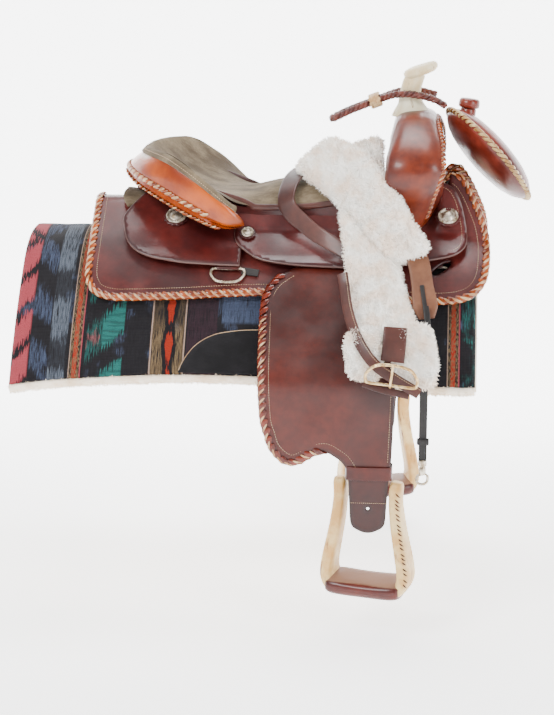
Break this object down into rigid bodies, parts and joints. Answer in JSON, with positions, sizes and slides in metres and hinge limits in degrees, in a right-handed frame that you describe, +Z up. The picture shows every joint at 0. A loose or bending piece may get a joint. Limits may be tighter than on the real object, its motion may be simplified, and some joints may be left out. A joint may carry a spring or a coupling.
{
  "type": "western saddle",
  "caption": "Western riding saddle with fork, horn, cantle, laced skirts and swinging stirrups, on a woven pad, with a fleece breast collar and a canteen.",
  "frame": {"origin": "middle of the pad's underside, where it rests on the horse's back at the spine", "axes": "+X towards the horse's head, +Y towards the rider's left, +Z up"},
  "size_m": [0.8669, 0.6899, 0.8658],
  "materials": {
    "skirt_leather": "satin",
    "fender_leather": "gloss",
    "fork_leather": "gloss",
    "cantle_leather": "gloss",
    "strap_leather": "satin",
    "tug_leather": "satin",
    "black_leather": "satin",
    "suede": "matt",
    "lacing": "satin",
    "rawhide": "satin",
    "horn_rawhide": "satin",
    "canteen_leather": "gloss",
    "canteen_lacing": "satin",
    "braid": "satin",
    "knot_leather": "satin",
    "fleece": "matt",
    "lining_fleece": "matt",
    "pad_weave": "matt",
    "nickel": "satin",
    "antique_silver": "satin",
    "brass": "satin",
    "steel": "satin",
    "tree_wood": "matt"
  },
  "bodies": {
    "saddle": {"saddle_pad_lining": "lining_fleece", "saddle_pad_shell": "pad_weave", "pad_wear_leathers": "black_leather", "skirt_lacing": "lacing", "tree_bars": "tree_wood", "tree_fork": "tree_wood", "tree_cantle": "tree_wood", "fork_cover": "fork_leather", "fork_lacing": "lacing", "horn_post": "steel", "horn_neck": "horn_rawhide", "horn_cap": "horn_rawhide", "cantle_roll": "cantle_leather", "cantle_lacing": "lacing", "seat": "suede", "rear_jockeys": "skirt_leather", "seat_jockeys": "skirt_leather", "front_jockeys": "skirt_leather", "concho_rosettes": "skirt_leather", "conchos_large": "antique_silver", "conchos_small": "antique_silver", "rigging_straps": "strap_leather", "horn_strap": "braid", "collar_fleece_upper": "fleece", "collar_fleece_lower": "fleece", "collar_tug_strap": "tug_leather", "collar_neck_strap": "strap_leather", "collar_billet": "strap_leather", "skirt_right": "skirt_leather", "skirt_lining_right": "lining_fleece", "skirt_left": "skirt_leather", "skirt_lining_left": "lining_fleece"},
    "fender_right": {"stirrup_leather_right": "fender_leather", "fender_right": "fender_leather", "fender_lacing_right": "lacing", "hobble_strap_right": "fender_leather"},
    "fender_left": {"stirrup_leather_left": "fender_leather", "fender_left": "fender_leather", "fender_lacing_left": "lacing", "hobble_strap_left": "fender_leather"},
    "stirrup_right": {"stirrup_frame_right": "rawhide", "stirrup_bolt_right": "steel", "stirrup_tread_right": "fender_leather"},
    "stirrup_left": {"stirrup_frame_left": "rawhide", "stirrup_bolt_left": "steel", "stirrup_tread_left": "fender_leather"},
    "rear_dee_right": {"rear_dee_right": "nickel"},
    "rear_dee_left": {"rear_dee_left": "nickel"},
    "front_dee_right": {"front_dee_right": "nickel"},
    "front_dee_left": {"front_dee_left": "nickel"},
    "canteen": {"canteen_front": "canteen_leather", "canteen_back": "canteen_leather", "canteen_seam": "canteen_lacing"},
    "canteen_stopper": {"canteen_stopper": "canteen_leather"},
    "strap_knot": {"strap_knot": "knot_leather"},
    "collar_buckle": {"collar_buckle": "brass"},
    "buckle_tongue": {"collar_buckle_tongue": "brass"},
    "tie_down_strap": {"tie_down_strap": "black_leather"},
    "tie_down_snap": {"tie_down_snap": "nickel"}
  },
  "joints": [
    {"name": "fender_right_swing", "type": "hinge", "parent": "saddle", "child": "fender_right", "pos_m": [0.134, -0.10041, 0.0198], "axis": [0, -0.716, 0.6981], "range_deg": [-8, 18]},
    {"name": "stirrup_right_tilt", "type": "hinge", "parent": "fender_right", "child": "stirrup_right", "pos_m": [0.134, -0.26734, -0.362], "axis": [0.9659, -0.2588, 0], "range_deg": [-25, 25]},
    {"name": "rear_dee_right_hinge", "type": "hinge", "parent": "saddle", "child": "rear_dee_right", "pos_m": [-0.112, -0.14356, -0.02382], "axis": [-1, 0, 0], "range_deg": [0, 75]},
    {"name": "front_dee_right_hinge", "type": "hinge", "parent": "saddle", "child": "front_dee_right", "pos_m": [0.236, -0.1178, -0.02096], "axis": [-1, 0, 0], "range_deg": [0, 5]},
    {"name": "fender_left_swing", "type": "hinge", "parent": "saddle", "child": "fender_left", "pos_m": [0.134, 0.10041, 0.0198], "axis": [0, -0.716, -0.6981], "range_deg": [-8, 18]},
    {"name": "stirrup_left_tilt", "type": "hinge", "parent": "fender_left", "child": "stirrup_left", "pos_m": [0.134, 0.26734, -0.362], "axis": [0.9659, 0.2588, 0], "range_deg": [-25, 25]},
    {"name": "rear_dee_left_hinge", "type": "hinge", "parent": "saddle", "child": "rear_dee_left", "pos_m": [-0.112, 0.14356, -0.02382], "axis": [1, 0, 0], "range_deg": [0, 75]},
    {"name": "front_dee_left_hinge", "type": "hinge", "parent": "saddle", "child": "front_dee_left", "pos_m": [0.236, 0.1178, -0.02096], "axis": [1, 0, 0], "range_deg": [0, 5]},
    {"name": "canteen_swing", "type": "hinge", "parent": "saddle", "child": "canteen", "pos_m": [0.25, 0, 0.239], "axis": [0, -1, 0], "range_deg": [0, 50]},
    {"name": "stopper_pull", "type": "slide", "parent": "canteen", "child": "canteen_stopper", "axis": [0.1202, 0.0401, 0.9919], "range_m": [0, 0.025]},
    {"name": "knot_slide", "type": "slide", "parent": "saddle", "child": "strap_knot", "axis": [-0.9326, 0, -0.361], "range_m": [0, 0.02]},
    {"name": "buckle_hinge", "type": "hinge", "parent": "saddle", "child": "collar_buckle", "pos_m": [0.17, -0.35, -0.166], "axis": [0.9929, 0, -0.1191], "range_deg": [0, 60]},
    {"name": "tongue_hinge", "type": "hinge", "parent": "collar_buckle", "child": "buckle_tongue", "pos_m": [0.17, -0.35, -0.166], "axis": [0.9929, 0, -0.1191], "range_deg": [0, 60]},
    {"name": "tie_down_swing", "type": "hinge", "parent": "saddle", "child": "tie_down_strap", "pos_m": [0.223, -0.319, -0.182], "axis": [0, -1, 0], "range_deg": [-15, 25]},
    {"name": "snap_swivel", "type": "hinge", "parent": "tie_down_strap", "child": "tie_down_snap", "pos_m": [0.223, -0.319, -0.304], "axis": [0, 0, 1], "continuous": true}
  ]
}
